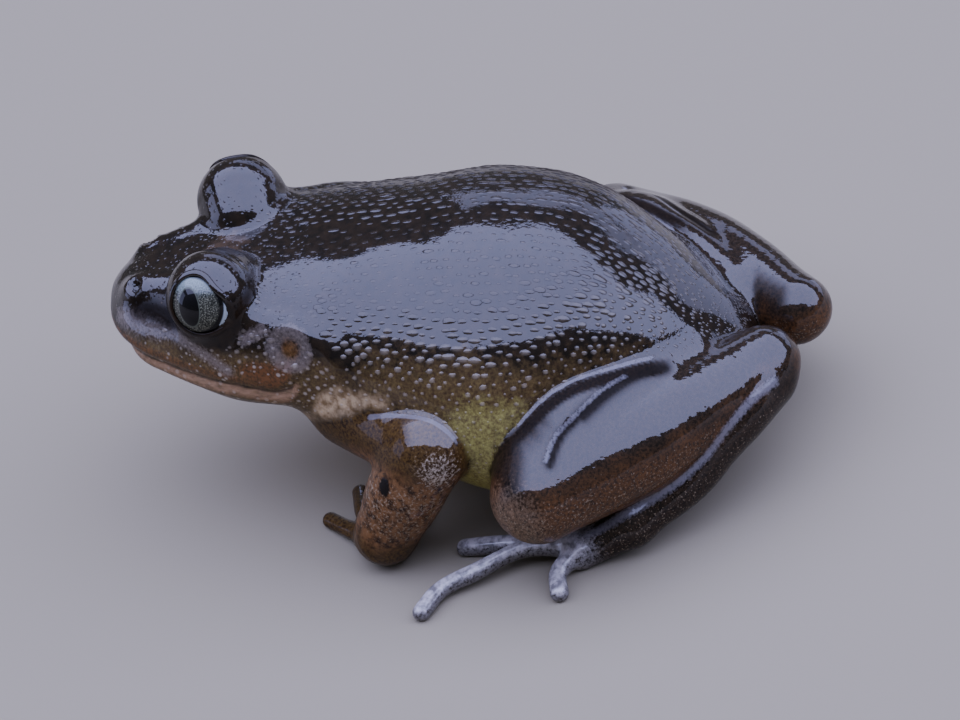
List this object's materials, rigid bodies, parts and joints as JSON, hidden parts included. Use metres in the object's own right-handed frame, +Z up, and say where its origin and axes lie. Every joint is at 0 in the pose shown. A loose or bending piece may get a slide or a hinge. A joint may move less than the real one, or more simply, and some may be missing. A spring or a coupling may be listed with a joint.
{
  "type": "frog figure",
  "caption": "Life-size still model of a western night frog sitting with folded legs, bulging eyes, round eardrums and slender toes.",
  "frame": {"origin": "middle of the frog's outline on the floor that it rests on", "axes": "+Z up, -Y the way the snout points, +X the frog's left side"},
  "size_m": [0.0524, 0.0662, 0.0285],
  "materials": {
    "back_skin": "wet and glossy, black brown",
    "underside_skin": "moist, pale yellowish brown",
    "limb_skin": "wet and glossy, dark brown",
    "digit_skin": "moist, blue grey",
    "eye": "clear gloss over a silvery grey green iris with a dark upright pupil",
    "eardrum_skin": "moist, orange brown"
  },
  "bodies": {
    "root": {"head": "back_skin", "left_ankle": "limb_skin", "left_eardrum": "eardrum_skin", "left_eye": "eye", "left_foot": "digit_skin", "left_forearm": "limb_skin", "left_hand": "digit_skin", "left_shank": "limb_skin", "left_thigh": "limb_skin", "left_upper_arm": "limb_skin", "lower_jaw": "underside_skin", "right_ankle": "limb_skin", "right_eardrum": "eardrum_skin", "right_eye": "eye", "right_foot": "digit_skin", "right_forearm": "limb_skin", "right_hand": "digit_skin", "right_shank": "limb_skin", "right_thigh": "limb_skin", "right_upper_arm": "limb_skin", "torso": "back_skin"}
  },
  "joints": []
}
